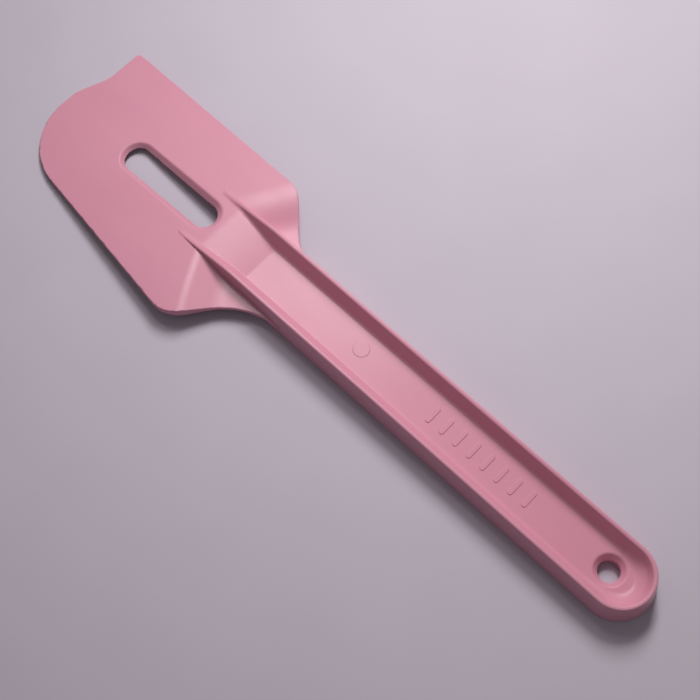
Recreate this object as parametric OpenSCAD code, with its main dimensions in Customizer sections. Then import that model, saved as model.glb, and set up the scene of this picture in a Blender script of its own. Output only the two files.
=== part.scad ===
// Scraper spatula: one plastic moulding, drawn as its named regions.
// +X runs from the handle's end to the blade's tip, +Z is up, +Y is the blade's tapered side.
// The origin is under the middle of the whole outline, on the surface that the spatula lies on.

/* [Overall] */
// Length from the handle's end to the furthest point of the tip
overall_l = 256.8; // [250:0.1:265]
// Height of the handle's rim above the table
handle_h = 9.8; // [9:0.1:12]

/* [Handle] */
// Half the width across the outside of the rim
rim_outer = 10.85; // [10.4:0.05:11.4]
// Thickness of the rim at its top
rim_t = 1.25; // [1:0.05:1.6]
// How far the outside flares out between the rim and the table
flare = 1.25; // [0.6:0.05:1.6]
// Half the width of the recessed floor
floor_half = 7.1; // [6:0.1:7.6]
// Height of the recessed floor above the table
floor_z = 4.8; // [4.4:0.1:5.2]
// Thickness of the floor
floor_t = 2; // [1.6:0.1:2.4]
// Half the width of the recess in the underside, at its mouth
under_half = 10.2; // [9.6:0.1:10.6]
// Half the width of the recess in the underside, under the floor
under_top = 8.8; // [8:0.1:9.2]

/* [Hanging hole] */
// Distance of the hole from the handle's end
hole_x = 15.4; // [15:0.1:18]
// Radius of the hole
hole_r = 3.5; // [3:0.1:4]
// Radius of the countersink at the floor
sink_r = 5.1; // [4.4:0.1:5.2]
// Depth of the countersink
sink_depth = 1.8; // [1:0.1:1.9]
// Radius of the tube that lines the hole below the floor
collar_r = 5.3; // [5.1:0.1:6]
// Height of the tube's lower end above the table
collar_z = 0.4; // [0.2:0.1:1]

/* [Neck] */
// Where the recessed floor ends and the ramp begins
ramp_x0 = 161.65; // [158:0.05:164]
// Where the ramp meets the blade
ramp_x1 = 180.75; // [178:0.05:182]
// Where the rim starts to run down to the blade
rim_drop_x = 166.25; // [163:0.05:168]
// Where the rim has run out on the blade
rim_end_x = 187; // [185:0.1:190]
// Where the lower half of the rails starts to fade out
keel_x = 151; // [140:1:155]
// Slope of the shoulders' dip towards the handle, in degrees
dip_slope = 12; // [9:1:14]
// How far the dip's fold is turned from straight across, in degrees
fold_turn = 34; // [28:1:40]

/* [Blade] */
// Thickness along the middle of the blade, at the neck
root_t = 2.65; // [2.4:0.05:3]
// Thickness at the tip
tip_t = 1; // [0.8:0.1:1.2]
// Height of the blade's underside at the neck
root_z = 3.8; // [3.6:0.1:4.4]
// Furthest reach of the tapered side from the handle's middle
taper_side = 33.9; // [32:0.1:35]
// Reach of the straight side at the shoulder
straight_side = 27.5; // [26:0.1:28]
// Reach of the straight side at the tip
straight_tip = 29.3; // [28.5:0.1:30]
// How far the pointed corner stays back from the furthest point of the tip
tip_step = 4.8; // [4:0.1:6]
// Radius of the big round corner of the tip
tip_corner_r = 23.6; // [20:0.1:24]
// Radius of each shoulder
shoulder_r = 11; // [9:0.5:12]
// Radius of the hollow curve between the left shoulder and the handle
left_hollow_r = 26; // [20:1:28]
// Radius of the hollow curve between the right shoulder and the handle
right_hollow_r = 12; // [9:1:18]
// Drop of the crowned top from the middle of the blade to its long edges
crown_drop = 0.6; // [0.4:0.1:1.6]

/* [Slot] */
// Middle of the slot from the handle's end
slot_x = 204.1; // [203:0.1:206]
// Middle of the slot from the handle's middle
slot_y = 0.15; // [-1:0.05:1]
// Length of the slot at the underside
slot_l = 41; // [36:0.1:42]
// Width of the slot at the underside
slot_w = 9; // [8:0.1:12]
// Width and depth of the bevel around the slot
slot_bevel = 1.8; // [0.3:0.1:2]

/* [Relief] */
// Number of raised bars on the floor
bar_count = 8; // [4:1:9]
// Distance from one bar to the next
bar_pitch = 5.6; // [4:0.1:6]
// Length of a bar across the handle
bar_l = 6.4; // [4:0.1:9]
// Width of a bar
bar_w = 1.8; // [1:0.1:2]
// Height of the relief above the floor
relief_h = 0.2; // [0.2:0.05:0.5]
// Where the first bar is
bar_x0 = 46.8; // [40:0.1:60]
// Where the moulding gate's mark is
gate_x = 117.25; // [110:0.05:125]
// How far the gate's mark is from the handle's middle
gate_y = -0.7; // [-2:0.1:2]
// Radius of the gate's mark
gate_r = 2.8; // [2:0.1:3]

/* [Hidden] */
$fn = 64;
pink = "lightpink";
arc_steps = 12;

// The outside at the table, the inside of the rim and the middle of the round end
wide_half = rim_outer + flare;
rim_inner = rim_outer - rim_t;
bow_x = wide_half;
under_z = floor_z - floor_t;

// Heights along the neck and the blade
root_top = root_z + root_t;
top_fall = (root_top - tip_t) / (overall_l - ramp_x1);
tip_nose = 0.4;

// Angles and small radii of the plan outline
left_s_angle = 55;
right_s_angle = 45;
tip_angle = 22;
point_r = 1.6;
step_r = 12;

// A point on the left shoulder's fold; the right one mirrors it
fold_c = [177, 16];

// Middles of the outline's arcs
taper_c = [176.2, taper_side - shoulder_r];
straight_c = [176.05, -straight_side + shoulder_r];
corner_c = [overall_l - tip_corner_r, 2.3];
taper_angle = atan2(corner_c[1] + tip_corner_r - taper_side, corner_c[0] - taper_c[0]);
point_c = [overall_l - tip_step - point_r, -straight_tip + point_r];

// Places the drawing, made from the handle's end, on the origin
mid_y = (taper_side - straight_tip) / 2;
module place() {
    translate([-overall_l / 2, -mid_y, 0]) children();
}

// Points along an arc from angle a0 to a1
function arc(c, r, a0, a1) =
    [for (i = [0 : arc_steps]) let (a = a0 + (a1 - a0) * i / arc_steps)
        c + r * [cos(a), sin(a)]];

// S-curve from a shoulder of middle c down to the handle's side, on the +Y side
function shoulder(c, s_angle, hollow_r) =
    let (y1 = wide_half + hollow_r * (1 - cos(s_angle)),
         p = c + shoulder_r * [-sin(s_angle), cos(s_angle)],
         x1 = p[0] - (p[1] - y1) / tan(s_angle))
    concat(arc(c, shoulder_r, 90, 90 + s_angle),
           arc([x1 - hollow_r * sin(s_angle), y1 + hollow_r * cos(s_angle)],
               hollow_r, s_angle - 90, -90));

function mirrored(points) = [for (p = points) [p[0], -p[1]]];
function reversed(points) = [for (i = [len(points) - 1 : -1 : 0]) points[i]];

// Outline of the blade and both shoulders, seen from above
function blade_outline() =
    let (step_x = overall_l - tip_step,
         rise = tip_step - 2 * step_r * (1 - cos(tip_angle)),
         y2 = -1.2,
         y1 = y2 - 2 * step_r * sin(tip_angle) - rise / tan(tip_angle))
    concat(reversed(mirrored(shoulder([straight_c[0], -straight_c[1]],
                                      right_s_angle, right_hollow_r))),
           arc(point_c, point_r, -90, 0),
           arc([step_x + step_r, y1], step_r, 180, 180 - tip_angle),
           arc([overall_l - step_r, y2], step_r, -tip_angle, 0),
           arc(corner_c, tip_corner_r, 0, 90 + taper_angle),
           shoulder(taper_c, left_s_angle, left_hollow_r));

module outline() {
    linear_extrude(height = 2 * handle_h) polygon(blade_outline());
}

// Extrudes a side view (X, Z) across the whole width
module across(points) {
    rotate([90, 0, 0])
        translate([0, 0, -overall_l / 4])
            linear_extrude(height = overall_l / 2) polygon(points);
}

module between(x0, x1, y0, y1) {
    translate([x0, y0, -handle_h]) cube([x1 - x0, y1 - y0, 3 * handle_h]);
}

// Rounded bar shape along X, with its end middles at x0 and x1
module stadium(x0, x1, r) {
    translate([x0, 0]) circle(r);
    translate([x1, 0]) circle(r);
    translate([x0, -r]) square([x1 - x0, 2 * r]);
}

// Cross-section of the rail (distance from the middle, Z), measured down from its rim
module rail_section() {
    polygon([[rim_inner, 0], [rim_outer, 0], [wide_half, -handle_h],
             [under_half, -handle_h], [under_top, under_z - handle_h],
             [floor_half, under_z - handle_h], [floor_half, floor_z - handle_h]]);
}

module rail_run(length) {
    rotate([90, 0, 90]) linear_extrude(height = length) rail_section();
}

// Side view of the space on one side of the mitre where a rail starts to fall
function mitre_side(x, fall) =
    let (lean = 2 * handle_h * tan(fall / 2))
    [[x, -handle_h], [rim_drop_x - lean, -handle_h],
     [rim_drop_x + lean / 2, 2 * handle_h], [x, 2 * handle_h]];

// How steeply the rim falls to the blade, in degrees
function rim_fall() =
    atan2(handle_h - root_top + top_fall * (rim_end_x - ramp_x1), rim_end_x - rim_drop_x);

// The falling stretch of a rail, begun this far before the rim starts to fall
module falling_run(back) {
    translate([rim_drop_x, 0, handle_h])
        rotate([0, rim_fall(), 0])
            translate([-back, 0, 0]) rail_run(rim_end_x - rim_drop_x + 4 + back);
}

// One rail: level along the handle, then falling to the blade, where it runs out
module rail_body() {
    intersection() {
        translate([bow_x, 0, handle_h]) rail_run(rim_drop_x - bow_x + 3);
        across(mitre_side(0, rim_fall()));
    }
    intersection() {
        falling_run(3);
        across(mitre_side(rim_end_x + 9, rim_fall()));
    }
}

// Side view of all that the rails fill: the keel fades out under the neck
function rail_side_view() =
    let (end_x = rim_end_x + 3)
    [[bow_x, 0], [keel_x, 0], [ramp_x1, root_z], [ramp_x1, root_z + root_t / 2],
     [end_x, root_z + root_t / 2], [end_x, handle_h + 1], [bow_x, handle_h + 1]];

module rail() {
    intersection() {
        rail_body();
        across(rail_side_view());
    }
}

// The blade's crowned top: a long shallow cylinder, lifted at the tip end
module crown() {
    half = (taper_side + straight_tip) / 2;
    r = half * half / (2 * crown_drop);
    tilt = atan2(root_top - tip_t - crown_drop, overall_l - ramp_x1);
    translate([ramp_x1, mid_y, root_top])
        rotate([0, tilt, 0])
            translate([-40, 0, -r])
                rotate([0, 90, 0]) cylinder(h = overall_l / 2, r = r, $fn = 256);
}

// The blade without its slot
module blade_body() {
    tip = [overall_l, tip_t];
    intersection() {
        outline();
        across([[ramp_x1, root_z], [overall_l - tip_nose, 0],
                [overall_l, tip_nose], tip, [ramp_x1, root_top]]);
        crown();
    }
}

module slot_cut() {
    r = slot_w / 2;
    half = slot_l / 2 - r;
    top = root_top - top_fall * (slot_x - ramp_x1);
    over = slot_bevel + 1;
    translate([slot_x, slot_y, 0])
        linear_extrude(height = 2 * handle_h) stadium(-half, half, r);
    translate([slot_x, slot_y, top - slot_bevel]) rotate([0, atan(top_fall), 0]) {
        for (x = [-half, half])
            translate([x, 0, 0]) cylinder(h = over, r1 = r, r2 = r + over);
        rotate([90, 0, 90])
            translate([0, 0, -half])
                linear_extrude(height = 2 * half)
                    polygon([[-r, 0], [r, 0], [r + over, over], [-r - over, over]]);
    }
}

// Side view of the sheet between the blade and the handle
function shoulder_side_view() =
    let (far_x = 130)
    [[ramp_x1, root_z], [ramp_x1, root_top],
     [far_x, root_top + top_fall * (ramp_x1 - far_x)], [far_x, under_z], [ramp_x0, under_z]];

// Side view across the fold, which is at 0: the top dips towards the handle and levels out
function dip_side_view() =
    let (foot_r = 20, low_top = floor_z - 0.4, near = 30, far = 60,
         fold_z = root_top + top_fall * (ramp_x1 - fold_c[0]),
         z2 = low_top + foot_r * (1 - cos(dip_slope)),
         x2 = -(fold_z - z2) / tan(dip_slope))
    concat([[near, -handle_h], [near, fold_z + near * tan(dip_slope)]],
           arc([x2 - foot_r * sin(dip_slope), low_top + foot_r],
               foot_r, dip_slope - 90, -90),
           [[-far, low_top], [-far, -handle_h]]);

module dip() {
    translate([fold_c[0], fold_c[1], 0]) rotate([0, 0, fold_turn]) across(dip_side_view());
}

// The sheet beside the neck, with the dip of one side given
module shoulder_sheet() {
    difference() {
        intersection() {
            outline();
            across(shoulder_side_view());
            crown();
            children();
        }
        rail_body();
        mirror([0, 1, 0]) rail_body();
    }
}

module blade() {
    color(pink) place() difference() {
        blade_body();
        slot_cut();
    }
}

module left_shoulder() {
    color(pink) place() intersection() {
        shoulder_sheet() dip();
        between(0, ramp_x1, rim_outer - 0.1, 2 * taper_side);
    }
}

module right_shoulder() {
    color(pink) place() intersection() {
        shoulder_sheet() mirror([0, 1, 0]) dip();
        between(0, ramp_x1, -2 * taper_side, 0.1 - rim_outer);
    }
}

module neck_ramp() {
    color(pink) place() difference() {
        intersection() {
            across([[ramp_x0, under_z], [ramp_x1, root_z],
                    [ramp_x1, root_top], [ramp_x0, floor_z]]);
            between(ramp_x0, ramp_x1, -rim_inner, rim_inner);
        }
        falling_run(9);
        mirror([0, 1, 0]) falling_run(9);
    }
}

module handle_floor() {
    color(pink) place() difference() {
        union() {
            translate([0, 0, under_z])
                linear_extrude(height = floor_t) intersection() {
                    stadium(bow_x, 2 * ramp_x0, floor_half);
                    square([2 * ramp_x0, 4 * floor_half], center = true);
                }
            translate([hole_x, 0, collar_z])
                cylinder(h = under_z - collar_z + floor_t / 2, r = collar_r);
        }
        translate([hole_x, 0, 0]) cylinder(h = handle_h, r = hole_r);
        translate([hole_x, 0, floor_z - sink_depth])
            cylinder(h = sink_depth, r1 = hole_r, r2 = sink_r);
    }
}

// Each rail ends on the blade's crowned top, which is not the same on both sides
module left_rail() {
    color(pink) place() difference() {
        rail();
        blade_body();
    }
}

module right_rail() {
    color(pink) place() difference() {
        mirror([0, 1, 0]) rail();
        blade_body();
    }
}

module end_bow() {
    color(pink) place()
        translate([bow_x, 0, handle_h])
            rotate([0, 0, 90]) rotate_extrude(angle = 180, $fn = 128) rail_section();
}

module grip_bars() {
    color(pink) place()
        for (i = [0 : bar_count - 1])
            translate([bar_x0 + i * bar_pitch, 0, floor_z])
                rotate([0, 0, 90])
                    linear_extrude(height = relief_h)
                        stadium(-(bar_l - bar_w) / 2, (bar_l - bar_w) / 2, bar_w / 2);
}

module gate_mark() {
    color(pink) place()
        translate([gate_x, gate_y, floor_z]) cylinder(h = relief_h, r = gate_r);
}

blade();
left_shoulder();
right_shoulder();
neck_ramp();
handle_floor();
left_rail();
right_rail();
end_bow();
grip_bars();
gate_mark();
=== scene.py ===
import math

import bmesh
import bpy
import numpy as np
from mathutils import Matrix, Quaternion, Vector


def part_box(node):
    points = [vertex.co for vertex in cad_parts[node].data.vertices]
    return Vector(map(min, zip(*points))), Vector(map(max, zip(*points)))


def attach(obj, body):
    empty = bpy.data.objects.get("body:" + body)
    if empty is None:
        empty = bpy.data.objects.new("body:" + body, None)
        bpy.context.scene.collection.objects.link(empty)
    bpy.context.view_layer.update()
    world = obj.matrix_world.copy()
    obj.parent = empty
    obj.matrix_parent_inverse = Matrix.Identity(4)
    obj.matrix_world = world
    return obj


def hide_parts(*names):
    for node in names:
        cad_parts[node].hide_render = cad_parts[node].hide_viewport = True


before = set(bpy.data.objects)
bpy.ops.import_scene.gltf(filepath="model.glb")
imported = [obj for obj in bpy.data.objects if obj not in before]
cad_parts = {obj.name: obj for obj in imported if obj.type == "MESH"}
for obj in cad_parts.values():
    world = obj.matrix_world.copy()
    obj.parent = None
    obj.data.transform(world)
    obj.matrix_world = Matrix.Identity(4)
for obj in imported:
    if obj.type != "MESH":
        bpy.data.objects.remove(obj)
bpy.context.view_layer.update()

# The looks of a one-piece plastic scraper spatula. The moulding's skin is the zero level of a
# distance function with rounded edges and fillets, meshed once and then cut into its named regions.
# Lengths are in millimetres, x from the handle's end and y from the handle's middle, until to_row().

MM = 0.001


# ---------------------------------------------------------------- sizes from the frame

def box_mm(node):
    low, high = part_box(node)
    return [c / MM for c in low], [c / MM for c in high]


BOW, FLOOR, BLADE, RAMP = (box_mm(n) for n in ("end_bow", "handle_floor", "blade", "neck_ramp"))
END_X = BOW[0][0]
AXIS_Y = (BOW[0][1] + BOW[1][1]) / 2
LENGTH = BLADE[1][0] - END_X
RIM_Z = BOW[1][2]
WIDE_HALF = (BOW[1][1] - BOW[0][1]) / 2
BOW_X = WIDE_HALF
FLOOR_Z = FLOOR[1][2]
CEILING_Z = RAMP[0][2]
FLOOR_HALF = (FLOOR[1][1] - FLOOR[0][1]) / 2
RAMP_X0, RAMP_X1 = RAMP[0][0] - END_X, RAMP[1][0] - END_X
ROOT_TOP = RAMP[1][2]
MID_Y = -AXIS_Y

# ---------------------------------------------------------------- other sizes

# Rails and bow: the rim's outer half width and thickness, and where the rim falls and ends
RIM_OUTER, RIM_T, RIM_R = 10.85, 1.25, 0.42
RIM_INNER = RIM_OUTER - RIM_T
RIM_DROP_X, RIM_END_X, RAIL_MIDDLE = 166.25, 187.0, 9.9

# Channel under the web: half width at the table and at its ceiling, and the keel that closes it
UNDER_HALF, UNDER_TOP = 10.2, 8.8
KEEL_X, KEEL_OVERLAP = 151.0, 0.3

# Hanging hole, its countersink and the tube under the web
HOLE_X, HOLE_R, SINK_R, SINK_DEPTH = 15.4, 3.5, 5.1, 1.8
COLLAR_R, COLLAR_Z = 5.3, 0.4

# Blade: underside height at the neck, tip thickness, crown, and the ramp's bulge
ROOT_Z, TIP_T, CROWN_DROP = 3.8, 1.0, 0.6
RAMP_BULGE = 0.2

# Shoulders: the slanted fold past which they dip
SHOULDER_LOW, FOLD_X, FOLD_Y = 4.4, 177.0, 16.0
DIP_SLOPE, FOLD_TURN = math.tan(math.radians(12)), math.radians(34)

# Slot: centre, length and width at the underside, and the height of its bevel
SLOT_X, SLOT_Y, SLOT_L, SLOT_W, SLOT_BEVEL = 204.1, 0.15, 41.0, 9.0, 1.8

# Blade outline: half widths, tip step, corner radii and shoulder curves
TAPER_X, STRAIGHT_X = 176.2, 176.05
TAPER_SIDE, STRAIGHT_SIDE, STRAIGHT_TIP = 33.9, 27.5, 29.3
TIP_STEP, TIP_CORNER_R, TIP_CORNER_Y, SHOULDER_R = 4.8, 23.6, 2.3, 11.0
LEFT_HOLLOW_R, RIGHT_HOLLOW_R = 26.0, 12.0
LEFT_S_ANGLE, RIGHT_S_ANGLE = 55.0, 45.0
POINT_R, STEP_R, STEP_ANGLE, STEP_Y = 1.6, 12.0, 22.0, -1.2
ARC_STEPS = 16

# Radii of rounded edges and fillets
BLADE_EDGE_R, BLADE_UNDER_R, CUT_EDGE_R = 0.2, 0.15, 0.3
FOOT_R, BOW_FOOT_R, CREASE_R = 0.7, 2.7, 0.3
CHANNEL_R, KEEL_R, TABLE_EDGE_R = 0.5, 0.35, 0.3
COLLAR_FOOT_R, COLLAR_EDGE_R = 0.6, 0.3

# How far each corner between two slopes is eased
UNDER_EASE, KEEL_EASE, RIM_EASE, DIP_EASE = 3.0, 5.0, 2.5, 3.0
CROWN_EASE, LEFT_FOLD_EASE, RIGHT_FOLD_EASE = 0.4, 0.5, 1.6
RAMP_FOOT_EASE, RAMP_TOP_EASE = 0.7, 0.16


# ---------------------------------------------------------------- plan outline of the blade

def arc(centre, r, start, end):
    angles = np.radians(np.linspace(start, end, ARC_STEPS + 1))
    return [(centre[0] + r * math.cos(a), centre[1] + r * math.sin(a)) for a in angles]


def shoulder_curve(centre, s_angle, hollow_r):
    """S-curve from a shoulder's arc down to the handle's side, on the +y side."""
    s, c = math.sin(math.radians(s_angle)), math.cos(math.radians(s_angle))
    y1 = WIDE_HALF + hollow_r * (1 - c)
    px, py = centre[0] - SHOULDER_R * s, centre[1] + SHOULDER_R * c
    x1 = px - (py - y1) * c / s
    hollow = arc((x1 - hollow_r * s, y1 + hollow_r * c), hollow_r, s_angle - 90, -90)
    return arc(centre, SHOULDER_R, 90, 90 + s_angle) + hollow


def blade_outline():
    """Points round the blade, from the straight side's neck past the tip to the tapered side's."""
    taper = (TAPER_X, TAPER_SIDE - SHOULDER_R)
    straight = (STRAIGHT_X, STRAIGHT_SIDE - SHOULDER_R)
    corner = (LENGTH - TIP_CORNER_R, TIP_CORNER_Y)
    lean = math.degrees(math.atan2(corner[1] + TIP_CORNER_R - TAPER_SIDE, corner[0] - taper[0]))
    point = (LENGTH - TIP_STEP - POINT_R, POINT_R - STRAIGHT_TIP)
    s, c = math.sin(math.radians(STEP_ANGLE)), math.cos(math.radians(STEP_ANGLE))
    rise = TIP_STEP - 2 * STEP_R * (1 - c)
    y1 = STEP_Y - 2 * STEP_R * s - rise * c / s
    return (
        [(x, -y) for x, y in reversed(shoulder_curve(straight, RIGHT_S_ANGLE, RIGHT_HOLLOW_R))]
        + arc(point, POINT_R, -90, 0)
        + arc((LENGTH - TIP_STEP + STEP_R, y1), STEP_R, 180, 180 - STEP_ANGLE)
        + arc((LENGTH - STEP_R, STEP_Y), STEP_R, -STEP_ANGLE, 0)
        + arc(corner, TIP_CORNER_R, 0, 90 + lean)
        + shoulder_curve(taper, LEFT_S_ANGLE, LEFT_HOLLOW_R)
    )


OUTLINE = blade_outline()


def outline_distance(x, y):
    """Signed distance in plan to the blade's outline, negative inside."""
    x, y = np.broadcast_arrays(x, y)
    best = np.full(x.shape, 1e9)
    inside = np.zeros(x.shape, bool)
    for (ax, ay), (bx, by) in zip(OUTLINE, OUTLINE[1:] + OUTLINE[:1]):
        ex, ey = bx - ax, by - ay
        if ex * ex + ey * ey < 1e-12:
            continue
        px, py = x - ax, y - ay
        t = np.clip((px * ex + py * ey) / (ex * ex + ey * ey), 0, 1)
        best = np.minimum(best, (px - t * ex) ** 2 + (py - t * ey) ** 2)
        crosses = (ay > y) != (by > y)
        if ey:
            inside ^= crosses & (px < py * ex / ey)
    return np.where(inside, -1, 1) * np.sqrt(best)


# ---------------------------------------------------------------- joining distances

def both(a, b, r):
    """Intersection whose edge is rounded to radius r."""
    return np.minimum(-r, np.maximum(a, b)) + np.hypot(np.maximum(r + a, 0), np.maximum(r + b, 0))


def either(a, b, r):
    """Union with a fillet of radius r."""
    return -both(-a, -b, r)


def bend(x, at, half):
    """Zero before at, and then x - at, with the corner eased over half a width each side."""
    eased = (x - at + half) ** 2 / (4 * half)
    return np.where(x < at - half, 0, np.where(x > at + half, x - at, eased))


def fade(x, start, end):
    """Smooth step from 0 at start to 1 at end."""
    t = np.clip((x - start) / (end - start), 0, 1)
    return t * t * (3 - 2 * t)


def lower_of(a, b, ease):
    """The lower of two heights, eased where they differ by less than ease."""
    t = np.clip(0.5 + 0.5 * (b - a) / ease, 0, 1)
    return b + (a - b) * t - ease * t * (1 - t)


# ---------------------------------------------------------------- the moulding

TOP_SLOPE = (ROOT_TOP - TIP_T) / (LENGTH - RAMP_X1)
RIM_SLOPE = (RIM_Z - ROOT_TOP + TOP_SLOPE * (RIM_END_X - RAMP_X1)) / (RIM_END_X - RIM_DROP_X)
UNDER_SLOPE = (ROOT_Z - CEILING_Z) / (RAMP_X1 - RAMP_X0)
BLADE_UNDER_SLOPE = ROOT_Z / (LENGTH - RAMP_X1)


def sheet_under(x):
    """Underside of the web, the ramp and the blade."""
    return (CEILING_Z + UNDER_SLOPE * bend(x, RAMP_X0, UNDER_EASE)
            - (UNDER_SLOPE + BLADE_UNDER_SLOPE) * bend(x, RAMP_X1, UNDER_EASE))


def blade_top(x, y):
    """The blade's own top, a little crowned across."""
    level = ROOT_TOP + TOP_SLOPE * (RAMP_X1 - x)
    half = (TAPER_SIDE + STRAIGHT_TIP) / 2
    ridge_slope = (ROOT_TOP - TIP_T - CROWN_DROP) / (LENGTH - RAMP_X1)
    ridge = ROOT_TOP + ridge_slope * (RAMP_X1 - x)
    return lower_of(level, ridge - CROWN_DROP * ((y - MID_Y) / half) ** 2, CROWN_EASE)


def sheet_top(x, y):
    """Top of the blade and the shoulders, which dip past a slanted fold at the neck."""
    out = np.abs(y) - FOLD_Y
    along = (x - FOLD_X) * math.cos(FOLD_TURN) + out * math.sin(FOLD_TURN)
    foot = (SHOULDER_LOW - ROOT_TOP - TOP_SLOPE * (RAMP_X1 - FOLD_X)) / DIP_SLOPE
    dip = SHOULDER_LOW + DIP_SLOPE * bend(along, foot, DIP_EASE)
    return lower_of(blade_top(x, y), dip, np.where(y > 0, LEFT_FOLD_EASE, RIGHT_FOLD_EASE))


def slot(x, y, z):
    """The slot, with straight walls at the underside and a bevel above them."""
    r = SLOT_W / 2
    half = SLOT_L / 2 - r
    side = np.hypot(np.maximum(np.abs(x - SLOT_X) - half, 0), y - SLOT_Y) - r
    above = z - ROOT_TOP - TOP_SLOPE * (RAMP_X1 - x) + SLOT_BEVEL
    return np.minimum(side, (side - above) / math.sqrt(2))


def floor_top(x, y):
    """Top of the web between the rails: level, then the ramp, then the blade's own top."""
    length = RAMP_X1 - RAMP_X0
    # The ramp's curve runs on past its end, so that it crosses the blade's top there.
    up = np.clip((x - RAMP_X0) / length, 0, 1.3)
    slope = (ROOT_TOP - FLOOR_Z) / length
    climb = FLOOR_Z + slope * bend(x, RAMP_X0, RAMP_FOOT_EASE) + 4 * RAMP_BULGE * up * (1 - up)
    near_top = x >= RAMP_X0 + 0.8 * length
    return np.where(near_top, lower_of(climb, blade_top(x, y), RAMP_TOP_EASE), climb)


def sheet(x, y, z):
    """Blade and both shoulders, without the slot."""
    inner = (np.abs(y) < RAIL_MIDDLE) & (x < RAMP_X1 + 2)
    top = np.where(inner, floor_top(x, y), sheet_top(x, y))
    d = both(z - top, outline_distance(x, y), BLADE_EDGE_R)
    return both(d, sheet_under(x) - z, BLADE_UNDER_R)


def rim_top(x):
    """Top of the rails and the bow, which falls to the blade past RIM_DROP_X."""
    return RIM_Z - RIM_SLOPE * bend(x, RIM_DROP_X, RIM_EASE)


def handle(x, y, z, rho):
    """Web, rails and bow in one: a wall with a filleted floor inside, cut by its outer face."""
    rim = rim_top(x)
    flare = (WIDE_HALF - RIM_OUTER) / RIM_Z
    lean = (RIM_INNER - FLOOR_HALF) / (RIM_Z - FLOOR_Z)
    under_lean = (UNDER_HALF - UNDER_TOP) / CEILING_Z
    outside = (rho - RIM_OUTER - flare * (rim - z)) / math.hypot(1, flare)
    inside = (RIM_INNER - lean * (rim - z) - rho) / math.hypot(1, lean)
    wall = both(inside, z - rim, RIM_R)
    foot_r = FOOT_R + (BOW_FOOT_R - FOOT_R) * fade(-x, -BOW_X - 9, -BOW_X + 5)
    upper = either(z - floor_top(x, y), wall, foot_r)
    upper = np.maximum(upper, x - RIM_END_X - 2)
    under = sheet_under(x) - z
    keel_slope = (ROOT_Z + KEEL_OVERLAP) / (RAMP_X1 - KEEL_X)
    keel = (keel_slope * bend(x, KEEL_X, KEEL_EASE)
            - (keel_slope + BLADE_UNDER_SLOPE) * bend(x, RAMP_X1, UNDER_EASE))
    recess = (UNDER_HALF - under_lean * z - rho) / math.hypot(1, under_lean)
    under = either(under, both(recess, keel - z, KEEL_R), CHANNEL_R)
    return both(both(upper, outside, RIM_R), under, TABLE_EDGE_R)


def hole(x, y, z):
    """The hanging hole and its countersink."""
    r = np.hypot(x - HOLE_X, y)
    lean = (SINK_R - HOLE_R) / SINK_DEPTH
    cone = (r - HOLE_R - lean * (z - FLOOR_Z + SINK_DEPTH)) / math.hypot(1, lean)
    return np.minimum(r - HOLE_R, np.maximum(cone, z - FLOOR_Z - 0.5))


def collar(x, y, z):
    """The short tube under the web that lines the hole."""
    r = np.hypot(x - HOLE_X, y)
    return both(both(r - COLLAR_R, z - CEILING_Z - 1, 0.1), COLLAR_Z - z, COLLAR_EDGE_R)


def moulding(x, y, z):
    """Signed distance to the whole moulding, negative inside."""
    rho = np.where(x < BOW_X, np.hypot(x - BOW_X, y), np.abs(y) + 0 * x)
    beside_rail = fade(rho, RAIL_MIDDLE, RAIL_MIDDLE + 0.5) * fade(-x, -FOLD_X - 1, -FOLD_X + 7)
    d = either(sheet(x, y, z), handle(x, y, z, rho), CREASE_R * beside_rail)
    d = either(d, collar(x, y, z), COLLAR_FOOT_R)
    d = both(d, -slot(x, y, z), CUT_EDGE_R)
    return both(d, -hole(x, y, z), CUT_EDGE_R)


# ---------------------------------------------------------------- meshing

CORNERS = np.array([[i, j, k] for i in (0, 1) for j in (0, 1) for k in (0, 1)])
EDGES = [(a, b) for a in range(8) for b in range(8)
         if a < b and np.abs(CORNERS[a] - CORNERS[b]).sum() == 1]


def gradient(distance, p, eps=0.02):
    """Slope of distance at each point of p, by central differences."""
    g = np.empty_like(p)
    for k in range(3):
        ahead, behind = p.copy(), p.copy()
        ahead[:, k] += eps
        behind[:, k] -= eps
        g[:, k] = (distance(*ahead.T) - distance(*behind.T)) / (2 * eps)
    return g


def onto_surface(distance, p, step, rounds):
    """Moves points to where the distance is zero."""
    for _ in range(rounds):
        g = gradient(distance, p)
        move = (distance(*p.T) / np.maximum((g * g).sum(1), 0.2))[:, None] * g
        p = p - np.clip(move, -step / 2, step / 2)
    return p


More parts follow.
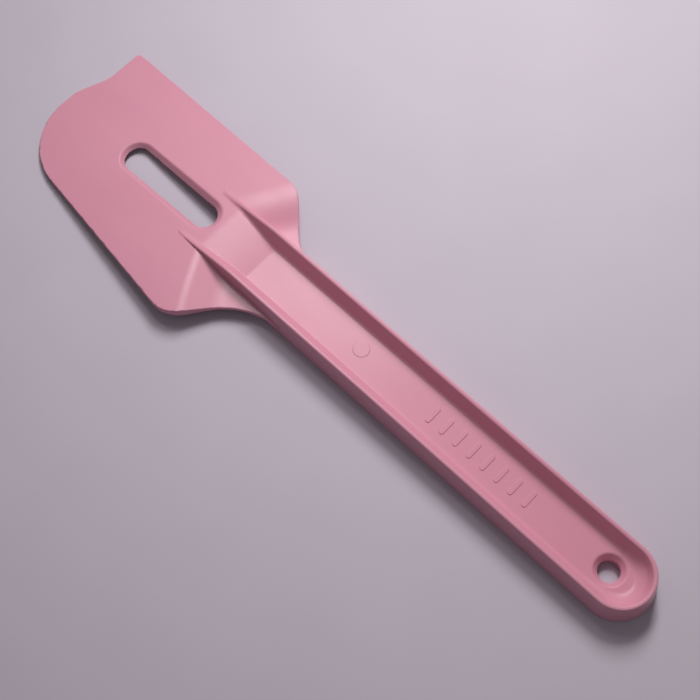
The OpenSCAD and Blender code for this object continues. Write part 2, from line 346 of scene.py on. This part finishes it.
def surface_net(distance, low, high, step):
    """Points and outward quads of the surface where the distance is zero."""
    axes = [np.arange(a, b + step, step) for a, b in zip(low, high)]
    x, y, z = np.meshgrid(*axes, indexing="ij", sparse=True)
    field = np.asarray(distance(x, y, z)) + np.zeros([len(a) for a in axes])
    inside = field < 0
    count = sum(inside[i:inside.shape[0] - 1 + i, j:inside.shape[1] - 1 + j,
                       k:inside.shape[2] - 1 + k].astype(np.int8) for i, j, k in CORNERS)
    cells = np.argwhere((count > 0) & (count < 8))
    number = np.full(count.shape, -1)
    number[tuple(cells.T)] = np.arange(len(cells))
    total, crossings = np.zeros((len(cells), 3)), np.zeros(len(cells))
    for a, b in EDGES:
        fa = field[tuple((cells + CORNERS[a]).T)]
        fb = field[tuple((cells + CORNERS[b]).T)]
        cut = (fa < 0) != (fb < 0)
        t = np.where(cut, fa / np.where(cut, fa - fb, 1), 0)[:, None]
        total += cut[:, None] * (CORNERS[a] + t * (CORNERS[b] - CORNERS[a]))
        crossings += cut
    points = np.array(low) + step * (cells + total / crossings[:, None])
    quads = []
    for d in range(3):
        a, b = np.eye(3, dtype=int)[(d + 1) % 3], np.eye(3, dtype=int)[(d + 2) % 3]
        first, second = np.swapaxes(inside, 0, d)[:-1], np.swapaxes(inside, 0, d)[1:]
        for way, crossed in ((1, first & ~second), (-1, ~first & second)):
            at = np.argwhere(np.swapaxes(crossed, 0, d))
            ring = [number[tuple((at - o).T)] for o in (0 * a, a, a + b, b)]
            quads.append(np.stack(ring[::way], axis=1))
    return points, np.concatenate(quads)


def relaxed(distance, points, quads, step, rounds):
    """Evens out the net's spacing, with every point kept on the surface."""
    links = np.concatenate([quads[:, [i, (i + 1) % 4]] for i in range(4)])
    n = np.bincount(links[:, 0], minlength=len(points))
    for _ in range(rounds):
        mean = np.stack([np.bincount(links[:, 0], points[links[:, 1], k], len(points)) / n
                         for k in range(3)], axis=1)
        points = onto_surface(distance, (points + mean) / 2, step, 1)
    return onto_surface(distance, points, step, 1)


def to_row(points):
    """From the handle's millimetres to the frame's metres."""
    return (np.asarray(points) + (END_X, AXIS_Y, 0)) * MM


def closed_piece(name, distance, source, planes):
    """One region of the skin: source cut by planes, each (point, outward normal), and capped."""
    bm = bmesh.new()
    bm.from_mesh(source)
    bmesh.ops.remove_doubles(bm, verts=bm.verts, dist=WELD)
    for point, normal in planes:
        geometry = bm.verts[:] + bm.edges[:] + bm.faces[:]
        cut = bmesh.ops.bisect_plane(bm, geom=geometry, dist=1e-5, plane_co=point,
                                     plane_no=normal, clear_outer=True)
        rim = [e for e in cut["geom_cut"] if isinstance(e, bmesh.types.BMEdge)]
        made = bmesh.ops.triangle_fill(bm, edges=rim, use_beauty=True, normal=normal)
        for f in made["geom"]:
            if isinstance(f, bmesh.types.BMFace):
                f.material_index = 1
                if f.normal.dot(Vector(normal)) < 0:
                    f.normal_flip()
    mesh = bpy.data.meshes.new(name)
    bm.to_mesh(mesh)
    bm.free()
    return finished_object(name, mesh, distance)


def finished_object(name, mesh, distance):
    """Moves the mesh to the row frame, with the distance's own normals on its skin."""
    co = np.empty(len(mesh.vertices) * 3)
    mesh.vertices.foreach_get("co", co)
    co = co.reshape(-1, 3)
    normals = gradient(distance, co)
    normals /= np.maximum(np.linalg.norm(normals, axis=1), 1e-9)[:, None]
    corner_vert = np.empty(len(mesh.loops), int)
    mesh.loops.foreach_get("vertex_index", corner_vert)
    loop_normals = normals[corner_vert]
    for f in mesh.polygons:
        f.use_smooth = True
        if f.material_index:
            loop_normals[f.loop_start:f.loop_start + f.loop_total] = f.normal
            f.material_index = 0
    mesh.vertices.foreach_set("co", to_row(co).ravel())
    mesh.normals_split_custom_set([tuple(n) for n in loop_normals])
    mesh.update()
    obj = bpy.data.objects.new(name, mesh)
    bpy.context.scene.collection.objects.link(obj)
    return obj


def mesh_of(name, points, quads):
    mesh = bpy.data.meshes.new(name)
    mesh.from_pydata([tuple(p) for p in points], [], [tuple(q) for q in quads.tolist()])
    mesh.update()
    return mesh


STEP = 0.42
WELD = STEP / 5
BOW_CUT, RAIL_CUT, SHOULDER_CUT = 9.9, FLOOR_HALF, WIDE_HALF + 0.5


def plane(axis, at, side):
    """Cutting plane that keeps what lies on the other side from its outward normal."""
    point, normal = [0.0, 0.0, 0.0], [0.0, 0.0, 0.0]
    point[axis], normal[axis] = at, float(side)
    return tuple(point), tuple(normal)


def region_planes():
    """The cutting planes of each node's share of the skin."""
    x0, x1 = plane(0, BOW_CUT, -1), plane(0, RAMP_X1, 1)
    return {
        "blade": [plane(0, RAMP_X1, -1)],
        "left_shoulder": [x1, plane(1, SHOULDER_CUT, -1)],
        "right_shoulder": [x1, plane(1, -SHOULDER_CUT, 1)],
        "neck_ramp": [x1, plane(0, RAMP_X0, -1), plane(1, RAIL_CUT, 1), plane(1, -RAIL_CUT, -1)],
        "handle_floor": [x0, plane(0, RAMP_X0, 1), plane(1, RAIL_CUT, 1),
                         plane(1, -RAIL_CUT, -1)],
        "left_rail": [x0, x1, plane(1, RAIL_CUT, -1), plane(1, SHOULDER_CUT, 1)],
        "right_rail": [x0, x1, plane(1, -RAIL_CUT, 1), plane(1, -SHOULDER_CUT, -1)],
        "end_bow": [plane(0, BOW_CUT, 1)],
    }


# ---------------------------------------------------------------- relief on the handle's floor

BAR_COUNT, BAR_PITCH, BAR_L, BAR_W, BAR_X0 = 8, 5.6, 6.4, 1.8, 46.8
GATE_X, GATE_Y, GATE_R, GATE_H = 117.25, -0.7, 2.8, 0.12
RELIEF_H, RELIEF_STEP, RELIEF_SINK = 0.2, 0.16, 0.1


def bar_relief(x, y, z):
    """A row of plain cross bars with round ends."""
    half = (BAR_L - BAR_W) / 2
    nearest = BAR_X0 + BAR_PITCH * np.clip(np.round((x - BAR_X0) / BAR_PITCH), 0, BAR_COUNT - 1)
    side = np.hypot(x - nearest, np.maximum(np.abs(y) - half, 0)) - BAR_W / 2
    return np.maximum(both(side, z - FLOOR_Z - RELIEF_H, 0.2), FLOOR_Z - RELIEF_SINK - z)


def gate_relief(x, y, z):
    """The low round mark of the moulding gate."""
    side = np.hypot(x - GATE_X, y - GATE_Y) - GATE_R
    return np.maximum(both(side, z - FLOOR_Z - GATE_H, 0.1), FLOOR_Z - RELIEF_SINK - z)


# ---------------------------------------------------------------- materials

def node_material(name):
    material = bpy.data.materials.new(name)
    material.use_nodes = True
    tree = material.node_tree
    return material, tree, tree.nodes["Principled BSDF"]


def noise(tree, scale, detail=2.0, stretch=(1, 1, 1)):
    coordinates = tree.nodes.new("ShaderNodeTexCoord")
    mapping = tree.nodes.new("ShaderNodeMapping")
    mapping.inputs["Scale"].default_value = stretch
    tree.links.new(coordinates.outputs["Object"], mapping.inputs["Vector"])
    texture = tree.nodes.new("ShaderNodeTexNoise")
    texture.inputs["Scale"].default_value = scale
    texture.inputs["Detail"].default_value = detail
    tree.links.new(mapping.outputs["Vector"], texture.inputs["Vector"])
    return texture


def ramp(tree, source, low, high, start=0.2, end=0.8):
    """Colours from low to high as source goes from start to end."""
    node = tree.nodes.new("ShaderNodeValToRGB")
    node.color_ramp.elements[0].position = start
    node.color_ramp.elements[1].position = end
    node.color_ramp.elements[0].color = (*low, 1)
    node.color_ramp.elements[1].color = (*high, 1)
    tree.links.new(source.outputs[0], node.inputs["Fac"])
    return node


def pink_plastic():
    """Satin moulded plastic: cloudy tint and worn gloss drawn out along x, and a fine grain."""
    material, tree, shader = node_material("pink_plastic")
    clouds = noise(tree, 45, 3, (0.35, 1, 1))
    tint = ramp(tree, clouds, (0.590, 0.250, 0.330), (0.630, 0.277, 0.360))
    tree.links.new(tint.outputs["Color"], shader.inputs["Base Color"])
    wear = noise(tree, 160, 4, (0.2, 1, 1))
    rough = ramp(tree, wear, (0.27,) * 3, (0.34,) * 3)
    tree.links.new(rough.outputs["Color"], shader.inputs["Roughness"])
    grain = noise(tree, 1800, 2)
    bump = tree.nodes.new("ShaderNodeBump")
    bump.inputs["Strength"].default_value = 0.12
    bump.inputs["Distance"].default_value = 0.0001
    tree.links.new(grain.outputs[0], bump.inputs["Height"])
    tree.links.new(bump.outputs["Normal"], shader.inputs["Normal"])
    shader.inputs["IOR"].default_value = 1.49
    return material


def paper_floor():
    material, tree, shader = node_material("pale_floor")
    fibres = noise(tree, 30, 4)
    tint = ramp(tree, fibres, (0.485, 0.44, 0.50), (0.505, 0.46, 0.52))
    tree.links.new(tint.outputs["Color"], shader.inputs["Base Color"])
    shader.inputs["Roughness"].default_value = 0.85
    return material


# ---------------------------------------------------------------- stage, light and camera

def floor():
    bpy.ops.mesh.primitive_plane_add(size=6, location=(0, 0, -0.00005))
    obj = bpy.context.object
    obj.name = "table_top"
    obj.data.materials.append(paper_floor())


def softbox(name, place, target, size, spread, watts, colour, glossy):
    """Soft rectangular light; one that isn't glossy lights the object but isn't mirrored in it."""
    light = bpy.data.lights.new(name, "AREA")
    light.shape = "RECTANGLE"
    light.size, light.size_y = size
    light.spread = math.radians(spread)
    light.energy = watts
    light.color = colour
    obj = bpy.data.objects.new(name, light)
    bpy.context.scene.collection.objects.link(obj)
    obj.location = place
    obj.rotation_mode = "QUATERNION"
    obj.rotation_quaternion = (Vector(place) - Vector(target)).to_track_quat("Z", "Y")
    obj.visible_glossy = glossy


def world_light(colour, strength):
    world = bpy.data.worlds.new("studio")
    bpy.context.scene.world = world
    world.use_nodes = True
    world.node_tree.nodes["Background"].inputs["Color"].default_value = (*colour, 1)
    world.node_tree.nodes["Background"].inputs["Strength"].default_value = strength


KEY_AT, KEY_AIM, KEY_SIZE, KEY_SPREAD = (0.235, -0.40, 0.50), (0.01, -0.12, 0), (0.16, 0.26), 80
KEY_COLOUR = (1.0, 0.98, 0.98)
WINDOW_AT, WINDOW_AIM, WINDOW_SIZE, WINDOW_SPREAD = (0.25, -0.20, 0.60), (0.02, 0, 0), (0.12, 0.16), 60
WINDOW_COLOUR = (1.0, 0.98, 1.0)


def lights():
    """A key whose mirror image is only a share of its light, and a window that gives the gloss."""
    for name, watts, glossy in (("key", 0.72, False), ("key_gloss", 0.20, True)):
        softbox(name, KEY_AT, KEY_AIM, KEY_SIZE, KEY_SPREAD, watts, KEY_COLOUR, glossy)
    softbox("window", WINDOW_AT, WINDOW_AIM, WINDOW_SIZE, WINDOW_SPREAD, 0.08, WINDOW_COLOUR, True)


CAMERA_AT = (-0.13204, 0.11322, 0.41272)
LOOK_AT = (-0.00729, -0.00166, 0.0)
ROLL = -3.79
LENS = 72


def camera():
    data = bpy.data.cameras.new("camera")
    data.type = "PERSP"
    data.sensor_width = 36
    data.lens = LENS
    data.clip_start = 0.01
    obj = bpy.data.objects.new("camera", data)
    bpy.context.scene.collection.objects.link(obj)
    obj.location = CAMERA_AT
    obj.rotation_mode = "QUATERNION"
    aim = (Vector(LOOK_AT) - Vector(CAMERA_AT)).to_track_quat("-Z", "Y")
    obj.rotation_quaternion = aim @ Quaternion((0, 0, 1), math.radians(ROLL))
    bpy.context.scene.camera = obj


# ---------------------------------------------------------------- build

def build_moulding(plastic):
    """Meshes the whole skin once and cuts it into the regions."""
    low, high = (-1.0, -STRAIGHT_TIP - 1, -0.9), (LENGTH + 1, TAPER_SIDE + 1, RIM_Z + 0.8)
    points, quads = surface_net(moulding, low, high, STEP)
    points = relaxed(moulding, onto_surface(moulding, points, STEP, 2), quads, STEP, 1)
    skin = mesh_of("skin", points, quads)
    for node, planes in region_planes().items():
        piece = closed_piece("moulded_" + node, moulding, skin, planes)
        dress(piece, node, plastic)
    bpy.data.meshes.remove(skin)


def build_relief(node, distance, x_span, y_span, plastic):
    """Meshes a relief that stands on the handle's floor within the given spans."""
    low = (x_span[0], y_span[0], FLOOR_Z - 0.5)
    high = (x_span[1], y_span[1], FLOOR_Z + 0.6)
    points, quads = surface_net(distance, low, high, RELIEF_STEP)
    points = onto_surface(distance, points, RELIEF_STEP, 3)
    piece = finished_object("moulded_" + node, mesh_of(node, points, quads), distance)
    dress(piece, node, plastic)


def dress(piece, node, plastic):
    """Gives a piece its material and its body, and hides the node that it stands for."""
    piece.data.materials.append(plastic)
    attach(piece, "root")
    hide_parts(node)


plastic = pink_plastic()
build_moulding(plastic)
bars_end = BAR_X0 + BAR_PITCH * (BAR_COUNT - 1)
build_relief("grip_bars", bar_relief, (BAR_X0 - 2, bars_end + 2), (-4, 4), plastic)
build_relief("gate_mark", gate_relief, (GATE_X - 4, GATE_X + 4), (GATE_Y - 4, GATE_Y + 4), plastic)
floor()
world_light((0.98, 0.92, 0.98), 0.21)
lights()
camera()
bpy.context.scene.view_settings.view_transform = "Standard"
